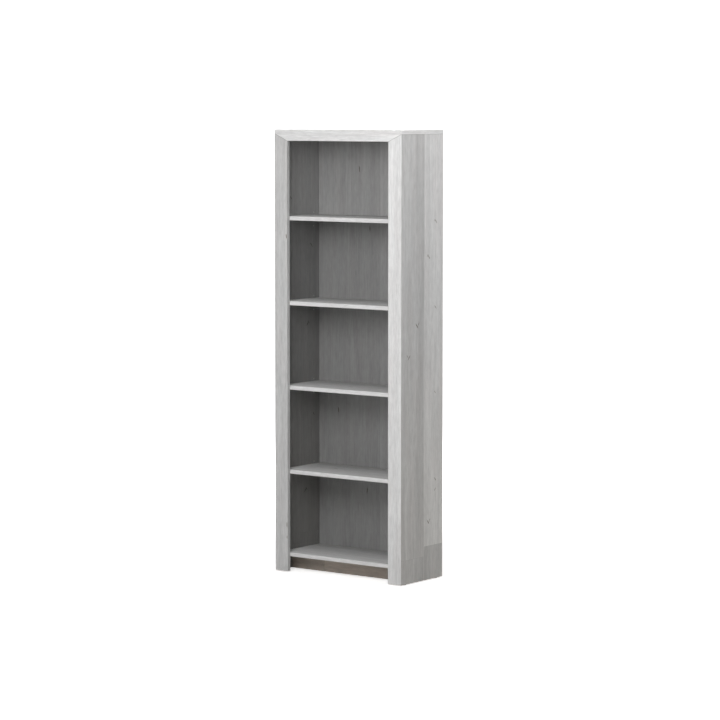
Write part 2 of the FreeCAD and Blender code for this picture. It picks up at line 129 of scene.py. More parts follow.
class OakLooks(bpy.types.PropertyGroup):
    """Colours and sizes of the printed oak."""

    pale: colour_prop("Pale grain", "Lightest streaks of the oak", (0.735, 0.735, 0.732))
    dark: colour_prop("Dark grain", "Darkest streaks of the oak", (0.515, 0.513, 0.510))
    halo: colour_prop("Knot halo", "Stain round a knot", (0.50, 0.455, 0.375))
    core: colour_prop("Knot core", "Crack in a knot", (0.13, 0.115, 0.10))
    plinth: colour_prop("Plinth", "Brown-grey of the plinth's oak", (0.455, 0.395, 0.342))
    front_tone: share_prop("Front tone", "Tone of the stiles and rail", 1.13)
    side_tone: share_prop("Side tone", "Tone of the outer sides", 0.845)
    shelf_tone: share_prop("Shelf tone", "Tone of the shelves and bottom", 1.12)
    band_tone: share_prop("Band tone", "Tone of the level edge bands", 1.21)
    # Painted shade: the stiles' inner edges are printed darker.
    return_shade_tone: share_prop("Return tone", "Tone of the stiles' inner edges", 0.78)
    # Painted shade: the faces inside the bays are printed darker.
    inside_shade_tone: share_prop("Inside tone", "Tone of the faces inside the bays", 0.335)
    # Painted shade: the back is printed darker.
    back_shade_tone: share_prop("Back tone", "Tone of the back", 0.46)
    # Painted light: the inner faces of the top bay are printed paler.
    top_bay_light_lift: share_prop("Top bay lift", "How much paler the inner faces of the top bay are", 0.55)
    streak: length_prop("Streak width", "Width of a usual streak", 0.007)
    ring_field: length_prop("Figure width", "Width of an arch in the figure", 0.10)
    rings: share_prop("Rings", "Rings in one arch", 7.0, 30.0)
    roughness: share_prop("Roughness", "Mean roughness of the foil", 0.52, 1.0)
    emboss: length_prop("Emboss", "Depth of the pressed pores", 0.00022)
    seam: length_prop("Seam width", "Width of the line where printed planks meet", 0.0009)
    joint: length_prop("Joint width", "Width of the dark line along the mitres and under the top", 0.0022)


class FittingLooks(bpy.types.PropertyGroup):
    """Colours of the fittings and of the raw edges."""

    nickel: colour_prop("Nickel", "Plated steel", (0.68, 0.665, 0.64))
    zinc: colour_prop("Zinc", "Cast zinc", (0.50, 0.51, 0.53))
    beech: colour_prop("Beech", "Dowel wood", (0.66, 0.47, 0.30))
    plastic: colour_prop("Plastic", "Moulded caps and glides", (0.56, 0.56, 0.55))
    chip: colour_prop("Chipboard", "Raw board edges", (0.47, 0.35, 0.235))
    hardboard: colour_prop("Hardboard", "Rear of the back", (0.40, 0.31, 0.225))


class FittingSizes(bpy.types.PropertyGroup):
    """Sizes of the fittings that are modelled here."""

    pin_stem: length_prop("Pin stem radius", "Part of a shelf pin inside the side", 0.00245)
    pin_rim: length_prop("Pin collar radius", "Collar against the side", 0.0032)
    pin_tongue: length_prop("Pin tongue thickness", "Tongue's thickness at its tip", 0.0014)
    nail_radius: length_prop("Nail radius", "Shank of a nail in the back", 0.0008)
    screw_core: length_prop("Screw core radius", "Root of a screw's thread", 0.00135)
    screw_crest: length_prop("Screw crest radius", "Crest of a screw's thread", 0.00175)
    screw_pitch: length_prop("Screw pitch", "Rise of the thread in one turn", 0.0016)
    segments: IntProperty(name="Segments", description="Faces round a piece", default=40, min=12, max=96)


class StudioLooks(bpy.types.PropertyGroup):
    """Floor, light and camera."""

    floor: colour_prop("Floor", "Pale floor", (0.893, 0.886, 0.877))
    sky: colour_prop("Sky", "Even light from all round", (1.0, 1.0, 1.0))
    sky_power: share_prop("Sky strength", "Strength of the even light", 0.02, 5.0)
    glow: share_prop("Floor glow", "Light that the far floor and its rim give back", 0.29, 5.0)
    fill: share_prop("Floor fill", "Brightness added to the floor that shows", 0.62, 5.0)
    key_power: watts_prop("Key light", "Large lamp high in front", 50.0)
    front_power: watts_prop("Front light", "Large lamp in front, a little above the top", 64.0)
    side_power: watts_prop("Side light", "Small lamp near the top of the right side", 13.0)
    wing_power: watts_prop("Wing light", "Large lamp far to the right", 11.0)
    rear_power: watts_prop("Rear light", "Large lamp behind, to the left", 110.0)
    azimuth: angle_prop("Camera azimuth", "Turn to the right of the front", 37.04)
    elevation: angle_prop("Camera elevation", "Angle above the horizon", 5.2)
    distance: length_prop("Camera distance", "From the camera to its aim", 12.612)
    lens: FloatProperty(name="Lens", description="Focal length", default=139.8, unit="CAMERA")
    aim_right: length_prop("Aim right", "Aim, to the right of the case's middle", 0.0077)
    aim_down: length_prop("Aim down", "Aim, below the case's middle", 0.0307)


class Tree:
    """Adds nodes to one tree and joins them. Values may be numbers, colours or sockets."""

    def __init__(self, tree):
        self.tree = tree

    def add(self, kind, inputs=None, **settings):
        made = self.tree.nodes.new(kind)
        for key, value in settings.items():
            setattr(made, key, value)
        for key, value in (inputs or {}).items():
            self.give(made.inputs[key], value)
        return made

    def give(self, socket, value):
        if isinstance(value, bpy.types.NodeSocket):
            self.tree.links.new(value, socket)
        else:
            socket.default_value = value

    def math(self, operation, *values):
        return self.add("ShaderNodeMath", dict(enumerate(values)), operation=operation).outputs[0]

    def times(self, a, b):
        return self.math("MULTIPLY", a, b)

    def plus(self, a, b):
        return self.math("ADD", a, b)

    def scaled(self, value, gain, offset=0.0):
        return self.math("MULTIPLY_ADD", value, gain, offset)

    def blend_numbers(self, share, a, b):
        return self.plus(self.times(a, self.scaled(share, -1.0, 1.0)), self.times(b, share))

    def vector(self, x, y, z):
        return self.add("ShaderNodeCombineXYZ", {0: x, 1: y, 2: z}).outputs[0]

    def ease(self, value, start, end, low=0.0, high=1.0):
        """Smooth step of value from low at start to high at end."""
        inputs = {"Value": value, "From Min": start, "From Max": end, "To Min": low, "To Max": high}
        return self.add("ShaderNodeMapRange", inputs, interpolation_type="SMOOTHSTEP").outputs[0]

    def noise(self, vector, detail=2.0, roughness=0.5):
        inputs = {"Vector": vector, "Scale": 1.0, "Detail": detail, "Roughness": roughness}
        return self.add("ShaderNodeTexNoise", inputs).outputs[0]

    def blend(self, share, a, b, kind="MIX"):
        made = self.add("ShaderNodeMix", data_type="RGBA", blend_type=kind)
        self.give(made.inputs[0], share)
        self.give(made.inputs[6], a)
        self.give(made.inputs[7], b)
        return made.outputs[2]

    def shade(self, colour, factor):
        """Colour times a number."""
        return self.blend(1.0, colour, self.vector(factor, factor, factor), "MULTIPLY")

    def steps(self, value, stops):
        """Stepped ramp: each stop is where a level starts, and the level."""
        ramp = self.add("ShaderNodeValToRGB", {0: value})
        ramp.color_ramp.interpolation = "CONSTANT"
        elements = ramp.color_ramp.elements
        while len(elements) < len(stops):
            elements.new(0.5)
        while len(elements) > len(stops):
            elements.remove(elements[-1])
        for element, (place, level) in zip(elements, stops):
            element.position = place
            element.color = (level, level, level, 1)
        return self.add("ShaderNodeSeparateColor", {0: ramp.outputs[0]}).outputs[0]


def opaque(colour):
    return (*colour, 1.0)


def opened(material):
    """A material's tree helper, its shader and its object coordinates."""
    material.use_nodes = True
    t = Tree(material.node_tree)
    return t, material.node_tree.nodes["Principled BSDF"], coordinates(t)


def new_group(name, inputs, outputs):
    """Empty node group with the given sockets, and its tree helper."""
    group = bpy.data.node_groups.new(name, "ShaderNodeTree")
    for label, kind, default in inputs:
        socket = group.interface.new_socket(label, in_out="INPUT", socket_type=kind)
        socket.default_value = default
    for label, kind in outputs:
        group.interface.new_socket(label, in_out="OUTPUT", socket_type=kind)
    tree = Tree(group)
    return group, tree, tree.add("NodeGroupInput"), tree.add("NodeGroupOutput")


NUMBER, COLOUR = "NodeSocketFloat", "NodeSocketColor"


def oak_group(looks):
    """Grain shared by every board. Widths and lengths of the noise are in metres.

    The across coordinate wanders with noise stretched along the board. The figure is the sine of a
    smooth field times a count of rings, so its level lines close into arches and bend round knots.
    Streaks are noise at three widths, stretched along the board, and mottle is a short, wide one.
    Pores are the peaks of a thin noise, and they press into the surface. Colour runs from dark to
    pale with their weighted sum."""
    found = bpy.data.node_groups.get("oak_grain")
    if found:
        return found
    group, t, given, out = new_group(
        "oak_grain",
        [("Across", NUMBER, 0.0), ("Along", NUMBER, 0.0), ("Seed", NUMBER, 0.0), ("Knot", NUMBER, 0.0),
         ("Figure", NUMBER, 1.0), ("Pale", COLOUR, opaque(looks.pale)), ("Dark", COLOUR, opaque(looks.dark))],
        [("Colour", COLOUR), ("Roughness", NUMBER), ("Height", NUMBER)],
    )
    across, along, seed, knot = (given.outputs[n] for n in ("Across", "Along", "Seed", "Knot"))

    def stretched(place, width, length, shift):
        return t.vector(t.times(place, 1 / width), t.times(along, 1 / length), t.plus(seed, shift))

    wander = t.noise(stretched(across, 0.20, 0.60, 1.7), 1.0)
    ripple = t.noise(stretched(across, 0.030, 0.075, 2.9), 1.0)
    place = t.plus(across, t.plus(t.scaled(wander, 0.022, -0.011), t.scaled(ripple, 0.008, -0.004)))
    field = t.noise(stretched(place, looks.ring_field, 1.3, 3.1), 1.0)
    field = t.plus(field, t.times(knot, 0.10))
    ring = t.math("SINE", t.times(field, looks.rings * 2 * math.pi))
    zone = t.ease(t.noise(stretched(across, 0.16, 1.1, 5.9), 0.0), 0.42, 0.62)
    broad = t.noise(stretched(place, looks.streak * 5, 0.90, 7.3), 2.0)
    streak = t.noise(stretched(place, looks.streak, 0.20, 11.9), 3.0)
    mottle = t.noise(stretched(place, looks.streak * 1.7, 0.040, 9.7), 3.0, 0.6)
    fine = t.noise(stretched(place, looks.streak * 0.32, 0.045, 13.3), 2.0)
    pores = t.ease(t.noise(stretched(place, 0.0009, 0.024, 17.7), 1.0), 0.60, 0.74)

    tone = t.scaled(broad, 0.50, 0.5 - 0.5 * 0.50)
    for layer, weight in ((streak, 0.55), (mottle, 0.50), (fine, 0.60)):
        tone = t.plus(tone, t.scaled(layer, weight, -0.5 * weight))
    figure = t.times(t.times(ring, zone), t.times(given.outputs["Figure"], 0.065))
    tone = t.plus(tone, figure)
    tone = t.plus(tone, t.times(pores, -0.20))
    colour = t.blend(t.ease(tone, 0.05, 0.95), given.outputs["Dark"], given.outputs["Pale"])
    warmth = t.ease(t.noise(stretched(place, looks.streak * 7, 0.35, 23.1), 1.0), 0.35, 0.70)
    colour = t.blend(1.0, colour, t.blend(warmth, (0.998, 1.0, 1.0, 1), (1.008, 0.997, 0.996, 1)), "MULTIPLY")
    t.give(out.inputs["Colour"], colour)
    rough = t.plus(t.scaled(streak, -0.16, looks.roughness + 0.08), t.times(pores, 0.16))
    t.give(out.inputs["Roughness"], rough)
    height = t.plus(t.times(pores, -1.0), t.scaled(fine, 0.5, -0.25))
    t.give(out.inputs["Height"], height)
    return group


def knot_group():
    """One knot: the distance from its middle, as a share of its half sizes, bent a little by noise.

    Halo falls from 1 near the middle to 0 at the rim. Core is a slit in the middle, CORE_SHARE as
    wide. A lean moves the knot across by that share of the distance along."""
    found = bpy.data.node_groups.get("oak_knot")
    if found:
        return found
    group, t, given, out = new_group(
        "oak_knot",
        [("Across", NUMBER, 0.0), ("Along", NUMBER, 0.0), ("Middle Across", NUMBER, 0.0),
         ("Middle Along", NUMBER, 0.0), ("Half Width", NUMBER, 0.006), ("Half Length", NUMBER, 0.018),
         ("Lean", NUMBER, 0.0)],
        [("Halo", NUMBER), ("Core", NUMBER)],
    )
    take = given.outputs
    along = t.math("SUBTRACT", take["Along"], take["Middle Along"])
    across = t.math("SUBTRACT", take["Across"], take["Middle Across"])
    across = t.math("MULTIPLY_ADD", along, take["Lean"], across)
    ragged = t.noise(t.vector(t.times(take["Across"], 260.0), t.times(take["Along"], 90.0), 0.0), 2.0)
    ragged = t.scaled(ragged, 0.9, -0.45)

    def reach(share):
        u = t.math("DIVIDE", across, t.times(take["Half Width"], share))
        v = t.math("DIVIDE", along, take["Half Length"])
        return t.plus(t.math("SQRT", t.plus(t.times(u, u), t.times(v, v))), ragged)

    t.give(out.inputs["Halo"], t.ease(reach(1.0), 1.0, 0.15))
    t.give(out.inputs["Core"], t.ease(reach(CORE_SHARE), 1.0, 0.45))
    return group


def coordinates(t):
    """Object coordinates as three numbers."""
    place = t.add("ShaderNodeTexCoord").outputs["Object"]
    return t.add("ShaderNodeSeparateXYZ", {0: place}).outputs


def beyond(t, place, faces):
    """1 on any face given as (axis, sign, limit), where sign times the coordinate passes the limit."""
    mask = 0.0
    for axis, sign, limit in faces:
        here = t.math("GREATER_THAN", t.times(place[axis], float(sign)), limit)
        mask = here if mask == 0.0 else t.math("MAXIMUM", mask, here)
    return mask


def chipboard(t, place, chip):
    """Chips: cells of two sizes, each with its own tone, from a darker to a paler chip colour."""
    point = t.vector(*place)
    level = 0.0
    for size, weight in ((0.0028, 0.6), (0.0011, 0.4)):
        cells = t.add("ShaderNodeTexVoronoi", {"Vector": point, "Scale": 1 / size})
        tone = t.add("ShaderNodeSeparateColor", {0: cells.outputs["Color"]}).outputs[0]
        level = t.times(tone, weight) if level == 0.0 else t.math("MULTIPLY_ADD", tone, weight, level)
    pale = opaque([min(1.0, c * 1.45) for c in chip])
    dark = opaque([c * 0.55 for c in chip])
    return t.blend(level, dark, pale), level


class Decor:
    """What one board's print looks like.

    Planks are (end across, tone, tone below the butt, butt height). Knots are (across, along, half
    width, half length, lean). Dims are soft strips (start, full, end, tone). Raw and inside list the
    faces (axis, sign, limit) of bare chipboard and those inside the bays, which are printed darker as
    painted shade. Mitred and under_top ask for the dark joint lines. The tone at the case's front and
    rear is painted shade, and the warmer tint towards the floor is painted light bounced off the floor."""

    def __init__(self, across, along, seed, tone, planks=(), knots=(), dims=(), raw=(), figure=1.0,
                 inside=(), mitred=False, under_top=False, fade=None, floor_bounce_tint=False):
        self.across, self.along, self.seed, self.tone = across, along, seed, tone
        self.planks, self.knots, self.dims, self.raw = planks, knots, dims, raw
        self.figure, self.inside = figure, inside
        self.mitred, self.under_top, self.fade, self.floor_bounce_tint = mitred, under_top, fade, floor_bounce_tint


def plank_tone(t, across, along, planks, seam_width):
    """Tone of the printed plank under a point, and 1 on the lines where planks meet.

    Three stepped ramps over the across coordinate give the tone above the butt joint, the tone below
    it and the joint's height."""
    low = planks[0][0] - 1.0
    ends = [p[0] for p in planks]
    span = ends[-1] + 1.0 - low

    def ramp(index, lift=0.0):
        starts = [0.0] + [(end - low) / span for end in ends[:-1]]
        stops = [(s, p[index] + lift) for s, p in zip(starts, planks)]
        return t.steps(t.scaled(across, 1 / span, -low / span), stops)

    # A ramp holds no level below zero, so the heights go in a metre higher
    joint = t.plus(ramp(3, 1.0), -1.0)
    over = t.math("GREATER_THAN", along, joint)
    above, below = ramp(1), ramp(2)
    tone = t.plus(below, t.times(over, t.math("SUBTRACT", above, below)))
    lines = t.math("COMPARE", along, joint, seam_width / 2)
    for end in ends[:-1]:
        lines = t.math("MAXIMUM", lines, t.math("COMPARE", across, end, seam_width / 2))
    return tone, lines


def top_bay_light_lift(t, place, looks):
    """Painted light: 1 in the lower bays, and more above the highest shelf, where the inner faces are printed
    paler for the light that gets in.
    """
    over = t.math("GREATER_THAN", place[Z], TOP_SHELF_Z)
    return t.scaled(over, looks.top_bay_light_lift, 1.0)


def joint_lines(t, place, decor, width):
    """1 on the dark lines of the case: along the mitres, whose height falls evenly from the case's
    outer corner to the rail's underside, and level along the top's underside."""
    lines = 0.0
    if decor.mitred:
        fall = (TOP_UNDER_Z - RAIL_UNDER_Z) / (CASE_HIGH.x - OPENING_X)
        out = t.math("ABSOLUTE", place[X], 0.0)
        height = t.scaled(out, fall, TOP_UNDER_Z - fall * CASE_HIGH.x)
        lines = t.math("COMPARE", place[Z], height, width / 2)
        lines = t.times(lines, t.math("LESS_THAN", place[Y], CASE_LOW.y + HAIR * 3))
    if decor.under_top:
        lines = t.math("COMPARE", place[Z], TOP_UNDER_Z, width / 2)
    return lines


def oak_material(name, decor, looks, fittings, pale=None, dark=None):
    """Printed oak of one board, with its planks, knots, soft dark strips, raw edges, and painted shade and
    light: darker inner faces, a paler top bay, a tone falling from front to rear and a warm tint towards the
    floor.
    """
    material = bpy.data.materials.new(name)
    t, shader, place = opened(material)
    across, along = place[decor.across], place[decor.along]

    knot = core = 0.0
    for one in decor.knots:
        inputs = dict(enumerate((across, along, *one)))
        halo, slit = t.add("ShaderNodeGroup", inputs, node_tree=knot_group()).outputs
        knot = halo if knot == 0.0 else t.math("MAXIMUM", knot, halo)
        core = slit if core == 0.0 else t.math("MAXIMUM", core, slit)

    tone, lines = decor.tone, 0.0
    seed = decor.seed
    if decor.planks:
        plank, lines = plank_tone(t, across, along, decor.planks, looks.seam)
        tone = t.times(plank, decor.tone)
        seed = t.scaled(plank, 37.0, decor.seed)
    for start, full, end, level in decor.dims:
        strip = t.times(t.ease(across, start, full), t.math("LESS_THAN", across, end))
        tone = t.times(tone, t.scaled(strip, level - 1.0, 1.0))
    # Painted shade: faces inside the bays are printed darker, and paler in the top bay as painted light.
    if decor.inside:
        inner = t.scaled(top_bay_light_lift(t, place, looks), looks.inside_shade_tone)
        tone = t.blend_numbers(beyond(t, place, decor.inside), tone, inner)
    # Painted shade: shelves and bottom are darker from the front towards the rear.
    if decor.fade:
        tone = t.times(tone, t.ease(place[Y], CASE_LOW.y, REAR_Y, *decor.fade))

    inputs = {"Across": across, "Along": along, "Seed": seed, "Knot": knot, "Figure": decor.figure,
              "Pale": opaque(pale or looks.pale), "Dark": opaque(dark or looks.dark)}
    colour, rough, height = t.add("ShaderNodeGroup", inputs, node_tree=oak_group(looks)).outputs
    if decor.knots:
        colour = t.blend(t.times(knot, HALO_SHARE), colour, opaque(looks.halo))
        colour = t.blend(t.times(core, CORE_COVER), colour, opaque(looks.core))
        height = t.plus(height, t.times(core, -1.5))
    colour = t.shade(colour, tone)
    if decor.planks:
        colour = t.shade(colour, t.scaled(lines, SEAM_DARK, 1.0))
        height = t.plus(height, t.times(lines, -1.0))
    if decor.mitred or decor.under_top:
        dark_line = joint_lines(t, place, decor, looks.joint)
        colour = t.shade(colour, t.scaled(dark_line, JOINT_DARK, 1.0))
    # Painted light: a warm tint towards the floor stands in for light bounced off the floor.
    if decor.floor_bounce_tint:
        bounce_light_tint = t.blend(t.ease(place[Z], 1.50, 0.10), (1.0, 1.0, 1.0, 1), (1.014, 1.0, 0.972, 1))
        colour = t.blend(1.0, colour, bounce_light_tint, "MULTIPLY")
    if decor.raw:
        edge = beyond(t, place, decor.raw)
        chips, level = chipboard(t, place, fittings.chip)
        colour = t.blend(edge, colour, chips)
        rough = t.plus(rough, t.times(edge, 0.35))
        height = t.plus(height, t.times(t.times(edge, level), 3.0))
    t.give(shader.inputs["Base Color"], colour)
    t.give(shader.inputs["Roughness"], rough)
    bump = t.add("ShaderNodeBump", {"Strength": 0.6, "Distance": looks.emboss, "Height": height})
    t.give(shader.inputs["Normal"], bump.outputs[0])
    return material


def plain_material(name, colour, roughness, size, metallic=0.0, grain=(1, 1, 1), spread=0.12, bump=0.00003):
    """Metal or plastic: noise of the given size, stretched by grain, moves colour, roughness and height."""
    material = bpy.data.materials.new(name)
    t, shader, place = opened(material)
    point = t.vector(*(t.times(p, g / size) for p, g in zip(place, grain)))
    cloud = t.noise(point, 3.0, 0.6)
    broad = t.noise(t.vector(*(t.times(p, g / (size * 9)) for p, g in zip(place, grain))), 2.0)
    level = t.plus(t.scaled(cloud, spread, 1.0 - spread / 2), t.scaled(broad, spread, -spread / 2))
    t.give(shader.inputs["Base Color"], t.shade(opaque(colour), level))
    t.give(shader.inputs["Roughness"], t.scaled(cloud, ROUGH_SPREAD, roughness - ROUGH_SPREAD / 2))
    lift = t.add("ShaderNodeBump", {"Strength": 0.5, "Distance": bump, "Height": cloud})
    t.give(shader.inputs["Normal"], lift.outputs[0])
    shader.inputs["Metallic"].default_value = metallic
    return material


def hardboard_and_print(looks, fittings):
    """The back: oak print on its front, fibres of pressed hardboard on its rear."""
    material = oak_material("back_oak_print", back_decor(looks), looks, fittings)
    t, shader, place = opened(material)
    rear = beyond(t, place, [(Y, 1, BACK_REAR_Y - HAIR)])
    fibres = t.noise(t.vector(t.times(place[X], 900.0), 0.0, t.times(place[Z], 420.0)), 4.0, 0.7)
    cloud = t.noise(t.vector(t.times(place[X], 14.0), 0.0, t.times(place[Z], 9.0)), 3.0)
    level = t.plus(t.scaled(fibres, 0.55, 0.58), t.scaled(cloud, 0.35, -0.03))
    board = t.shade(opaque(fittings.hardboard), level)
    printed = shader.inputs["Base Color"].links[0].from_socket
    # Painted light: the back's print is paler in the top bay.
    printed = t.shade(printed, t.scaled(top_bay_light_lift(t, place, looks), 0.42, 0.58))
    t.give(shader.inputs["Base Color"], t.blend(rear, printed, board))
    return material


def forked_knot(across, along, hand, size):
    """A leaning crack, and in a large knot a small one that leans the other way beside it."""
    width, length = 0.0065 * size, 0.011 * size
    crack = (across, along, width, length, 0.75 * hand)
    if size < 1.0:
        return [crack]
    side = hand if size > 1.15 else -hand
    beside = (across + side * width * 1.4, along + length * 0.5, width * 0.6, length * 0.7, -0.6 * hand)
    return [crack, beside]


def side_decor(sign, looks):
    """A side, front to back: a darker front plank with a strip that deepens to the seam, and a paler
    rear plank. Each has a short darker piece at its foot. Its inner face is printed darker as painted
    shade, and a warm tint towards its foot is painted light bounced off the floor."""
    seam, rear = 0.009, REAR_Y
    planks = [(seam, 1.0, 0.96, 0.110), (rear, 1.18, 0.90, 0.155)]
    if sign > 0:
        forks = [(0.103, 1.606, 1, 1.0), (0.050, 1.449, 1, 1.1), (0.101, 1.223, 1, 0.9),
                 (-0.040, 1.147, 1, 1.3), (-0.099, 1.010, -1, 1.2), (0.099, 0.843, 1, 0.8),
                 (0.100, 0.452, 1, 0.9), (0.100, 0.405, -1, 0.8), (0.047, 0.263, 1, 1.2)]
        seed = 2.0
    else:
        forks = [(0.090, 1.480, 1, 1.0), (0.060, 1.120, -1, 1.1), (-0.060, 1.700, 1, 0.9),
                 (-0.110, 0.880, -1, 1.2), (0.105, 0.700, 1, 0.9), (0.040, 0.350, -1, 1.1)]
        seed = 41.0
    knots = [knot for fork in forks for knot in forked_knot(*fork)]
    dims = [(-0.054, -0.044, seam, 0.93), (-0.010, 0.004, seam, 0.95), (0.055, 0.064, rear + 0.01, 1.035)]
    raw = [RAW_REAR, RAW_FOOT]
    inside = [(X, -sign, -INNER_X - HAIR)]
    return Decor(Y, Z, seed, looks.side_tone, planks, knots, dims, raw, inside=inside, under_top=True,
                 floor_bounce_tint=True)


def stile_decor(sign, looks):
    """A stile is one pale plank. The left one has small dark knots at its inner edge. The left stile is
    printed darker as painted shade and the right one paler as painted light.
    """
    x = -OPENING_X - 0.005
    left_knots = [(x, 1.53, 0.006, 0.014, 0.1), (x, 0.216, 0.005, 0.016, 0.0), (x, 0.16, 0.004, 0.009, 0.0)]
    # Painted shade on the left stile and painted light on the right: one plank printed at two tones.
    knots, share = ([], 1.07) if sign > 0 else (left_knots, 0.845)
    seed, tone = 5.0 + 9.0 * sign, looks.front_tone * share
    return Decor(X, Z, seed, tone, knots=knots, raw=[RAW_FOOT], figure=0.5, mitred=True)


def rail_decor(looks):
    """The rail is one pale plank with its grain level."""
    return Decor(Z, X, 61.0, looks.front_tone * 1.12, figure=1.2, mitred=True)


def top_decor(looks):
    """The top in two planks. Its underside is one of the inner faces, printed darker as painted shade."""
    planks = [(0.012, 1.0, 1.0, NO_BUTT), (REAR_Y, 1.07, 1.0, NO_BUTT)]
    knots = [(0.070, -0.160, 0.007, 0.020, 0.1), (-0.080, 0.210, 0.006, 0.018, -0.2)]
    return Decor(Y, X, 71.0, looks.front_tone, planks, knots,
                 raw=[RAW_REAR], inside=[(Z, -1, -TOP_UNDER_Z - HAIR)])


def shelf_decor(number, looks):
    """A shelf in two planks, level grain, raw at its ends and rear, with painted shade that darkens it
    towards the rear.
    """
    planks = [(-0.012 + 0.009 * number, 1.0, 1.0, NO_BUTT), (REAR_Y, 0.97, 1.0, NO_BUTT)]
    knots = [(0.045 - 0.03 * number, 0.11 * number - 0.25, 0.006, 0.018, 0.1)]
    raw = [(Y, 1, SHELF_REAR_Y - HAIR), (X, 1, SHELF_END_X - HAIR), (X, -1, SHELF_END_X - HAIR)]
    return Decor(Y, X, 80.0 + 7.0 * number, looks.shelf_tone, planks, knots, raw=raw, fade=SHADE_FRONT_TO_REAR)


def bottom_decor(looks):
    """The bottom in two planks, raw at its rear, with painted shade that darkens it towards the rear."""
    planks = [(-0.020, 1.0, 1.0, NO_BUTT), (REAR_Y, 0.97, 1.0, NO_BUTT)]
    raw = [(Y, 1, BOTTOM_REAR_Y - HAIR)]
    return Decor(Y, X, 131.0, looks.shelf_tone, planks, raw=raw, fade=SHADE_FRONT_TO_REAR)


def plinth_decor():
    """Two boards of brown oak end to end, the left one darker."""
    planks = [(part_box("plinth")[1].z, 1.00, 0.88, -0.150)]
    return Decor(Z, X, 141.0, 1.0, planks, raw=[RAW_FOOT])


def back_decor(looks):
    """Four printed planks side by side, a little different in tone, all printed darker as painted shade."""
    planks = [(-0.162, 1.0, 1.0, NO_BUTT), (0.008, 0.98, 1.0, NO_BUTT),
              (0.177, 1.07, 1.0, NO_BUTT), (0.346, 0.97, 1.0, NO_BUTT)]
    knots = [(-0.105, 1.83, 0.006, 0.020, 0.1), (-0.045, 1.56, 0.006, 0.018, 0.0),
             (0.075, 1.05, 0.006, 0.020, 0.1), (-0.225, 0.72, 0.006, 0.018, 0.1),
             (-0.060, 0.36, 0.006, 0.020, -0.1), (0.240, 1.40, 0.006, 0.020, 0.0)]
    return Decor(X, Z, 151.0, looks.back_shade_tone, planks, knots, figure=1.3)


def band_decor(axis, seed, tone):
    """Edge band: plain straight grain along its length."""
    return Decor(Y if axis == Z else Z, axis, seed, tone, figure=0.3)


def dress(names, material):
    """Gives CAD nodes one material in place of all their slots."""
    for name in names:
        slots = NODES[name].data.materials
        slots.clear()
        slots.append(material)


def settings(context):
    return context.scene.bookcase_oak, context.scene.bookcase_fittings


def print_oak(context, names, material, decor, *shades):
    """Gives CAD nodes a new material of printed oak. Shades are its pale and dark, if not the usual."""
    dress(names, oak_material(material, decor, *settings(context), *shades))


def nickel_and_sizes(context):
    return bpy.data.materials["nickel_plate"], context.scene.bookcase_sizes


def closed_lathe(profile, segments):
    """Profile (radius, height) turned round the +Z axis. Its first and last radius are zero: they are
    the two poles, and rings of points lie between them. Returns points and faces."""
    radius, height = np.asarray(profile, float).T
    angle = np.linspace(0, 2 * np.pi, segments, endpoint=False)
    ring_r, ring_h = radius[1:-1, None], height[1:-1, None]
    x, y = ring_r * np.cos(angle), ring_r * np.sin(angle)
    rings = np.stack([x, y, np.broadcast_to(ring_h, x.shape)], -1).reshape(-1, 3)
    points = np.vstack([[0, 0, height[0]], rings, [0, 0, height[-1]]])
    return points, grid_faces(len(radius) - 2, segments)


def grid_faces(rings, segments, closed=True):
    """Faces of a tube of rings with a pole before the first ring and, if closed, one after the last."""
    here = np.arange(segments)
    there = (here + 1) % segments
    start = 1 + segments * np.arange(rings - 1)[:, None]
    walls = np.stack([start + here, start + there, start + segments + there, start + segments + here], -1)
    last = 1 + segments * (rings - 1)
    low = np.stack([np.zeros(segments, int), 1 + there, 1 + here], -1)
    high = np.stack([np.full(segments, last + segments), last + here, last + there], -1)
    return walls.reshape(-1, 4).tolist() + low.tolist() + (high.tolist() if closed else [])


def turned(points, origin, across, axis):
    """Points modelled along +Z, set so that +Z lies along axis and +X along across."""
    across, axis = np.asarray(across, float), np.asarray(axis, float)
    basis = np.stack([across, np.cross(axis, across), axis])
    return points @ basis + np.asarray(origin, float)


def placed(name, data):
    """New object in the scene."""
    made = bpy.data.objects.new(name, data)
    bpy.context.scene.collection.objects.link(made)
    return made


def face_towards(thing, place, direction):
    """Puts a lamp or camera in its place, looking in a direction."""
    thing.location = place
    thing.rotation_euler = direction.to_track_quat("-Z", "Y").to_euler()


def add_piece(name, points, faces, material, body, node):
    """Object with its place in its mesh, riding on a body in place of its CAD node."""
    mesh = bpy.data.meshes.new(name)
    mesh.from_pydata(points, [], faces)
    mesh.validate()
    mesh.shade_smooth()
    mesh.set_sharp_from_angle(angle=math.radians(35.0))
    mesh.materials.append(material)
    made = placed(name, mesh)
    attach(made, body)
    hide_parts(node)


def islands(name):
    """Boxes of the loose solids of a CAD node, as an array of (low corner, high corner).

    Points that share a triangle are joined by letting each point take the lowest label of its
    triangle until no label changes."""
    mesh = NODES[name].data
    co = np.zeros(len(mesh.vertices) * 3)
    mesh.vertices.foreach_get("co", co)
    co = co.reshape(-1, 3)
    _, same = np.unique(np.round(co, 6), axis=0, return_inverse=True)
    corners = np.zeros(len(mesh.polygons) * 3, int)
    mesh.polygons.foreach_get("vertices", corners)
    triangles = same.ravel()[corners].reshape(-1, 3)
    label = np.arange(same.max() + 1)
    while True:
        lowest = label[triangles].min(1)
        new = label.copy()
        np.minimum.at(new, triangles.ravel(), np.repeat(lowest, 3))
        new = new[new]
        if np.array_equal(new, label):
            break
        label = new
    owner = label[same.ravel()]
    return np.array([[co[owner == k].min(0), co[owner == k].max(0)] for k in np.unique(owner)])


def add_for_islands(name, node, material, shape):
    """One piece of the case in place of a node, with one shape for each of the node's solids."""
    points, faces, count = [], [], 0
    for box in islands(node):
        its_points, its_faces = shape(*box)
        points.append(its_points)
        faces += [[i + count for i in face] for face in its_faces]
        count += len(its_points)
    add_piece(name, np.vstack(points), faces, material, "case", node)


